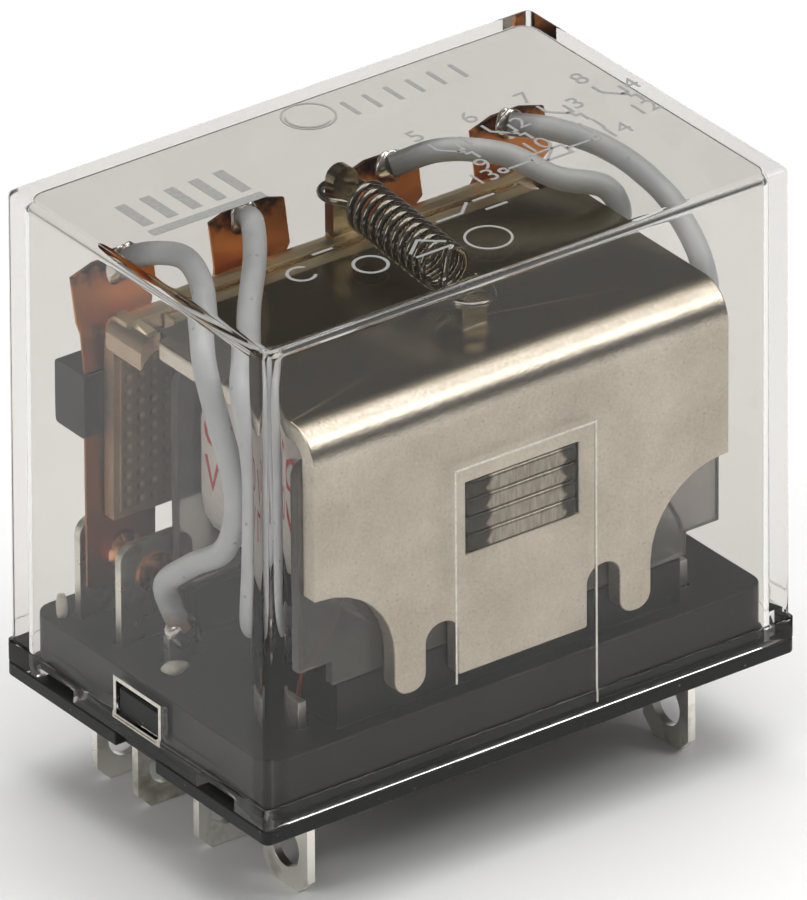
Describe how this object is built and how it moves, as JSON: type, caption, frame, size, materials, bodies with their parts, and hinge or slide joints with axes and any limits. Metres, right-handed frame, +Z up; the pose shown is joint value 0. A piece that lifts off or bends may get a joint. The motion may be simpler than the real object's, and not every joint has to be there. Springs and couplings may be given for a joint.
{
  "type": "plug-in control relay",
  "caption": "Plug-in control relay: clear box cover on a black base, bent nickel yoke round a coil, sprung armature carrying a bar of leaf contacts, and blade pins with eyelets below.",
  "frame": {"origin": "centre of the underside of the base flange", "axes": "+Z up towards the top of the cover, X along the long side, +Y towards the contacts"},
  "size_m": [0.042, 0.0282, 0.0421],
  "materials": {
    "base_plastic": "moulded black thermoplastic, satin",
    "clear_cover": "clear moulded polycarbonate",
    "nickel_iron": "nickel-plated sheet iron, bright where bent, matt on the flats",
    "core_steel": "sheared silicon steel",
    "contact_copper": "silver alloy and copper rivet, reddish",
    "smoky_plastic": "translucent smoky moulding",
    "coil_wire": "enamelled copper wire",
    "label_tape": "white tape",
    "tinned_terminal": "tinned brass",
    "copper_strip": "rolled copper alloy strip, heat-stained",
    "lead_sleeve": "soft grey-white insulating sleeve",
    "holder_plastic": "moulded black thermoplastic, satin",
    "spring_steel": "drawn spring wire, dark and bright"
  },
  "bodies": {
    "frame": {"base": "base_plastic", "cover": "clear_cover", "yoke": "nickel_iron", "core_lamination_1": "core_steel", "core_lamination_2": "core_steel", "core_lamination_3": "core_steel", "core_lamination_4": "core_steel", "shading_ring": "contact_copper", "bobbin": "smoky_plastic", "coil_winding": "coil_wire", "coil_lead_1": "coil_wire", "coil_lead_2": "coil_wire", "coil_label": "label_tape", "nc_terminal_1": "tinned_terminal", "no_terminal_1": "tinned_terminal", "com_terminal_1": "tinned_terminal", "nc_contact_1": "contact_copper", "no_contact_1": "contact_copper", "lead_wire_1": "lead_sleeve", "nc_terminal_2": "tinned_terminal", "no_terminal_2": "tinned_terminal", "com_terminal_2": "tinned_terminal", "nc_contact_2": "contact_copper", "no_contact_2": "contact_copper", "lead_wire_2": "lead_sleeve", "nc_terminal_3": "tinned_terminal", "no_terminal_3": "tinned_terminal", "com_terminal_3": "tinned_terminal", "nc_contact_3": "contact_copper", "no_contact_3": "contact_copper", "lead_wire_3": "lead_sleeve", "nc_terminal_4": "tinned_terminal", "no_terminal_4": "tinned_terminal", "com_terminal_4": "tinned_terminal", "nc_contact_4": "contact_copper", "no_contact_4": "contact_copper", "lead_wire_4": "lead_sleeve", "coil_terminal_1": "tinned_terminal", "coil_terminal_2": "tinned_terminal", "return_spring": "spring_steel"},
    "armature": {"armature": "nickel_iron", "contact_holder": "holder_plastic", "moving_spring_1": "copper_strip", "moving_spring_2": "copper_strip", "moving_spring_3": "copper_strip", "moving_spring_4": "copper_strip", "moving_contact_1": "contact_copper", "moving_contact_2": "contact_copper", "moving_contact_3": "contact_copper", "moving_contact_4": "contact_copper"}
  },
  "joints": [
    {"name": "armature_swing", "type": "hinge", "parent": "frame", "child": "armature", "pos_m": [0, 0.006, 0.027], "axis": [-1, 0, 0], "range_deg": [0, 2.6], "stiffness_Nm_per_rad": 0.05, "springref_deg": -3.44, "deforming": ["return_spring", "lead_wire_1", "lead_wire_2", "lead_wire_3", "lead_wire_4"]}
  ]
}
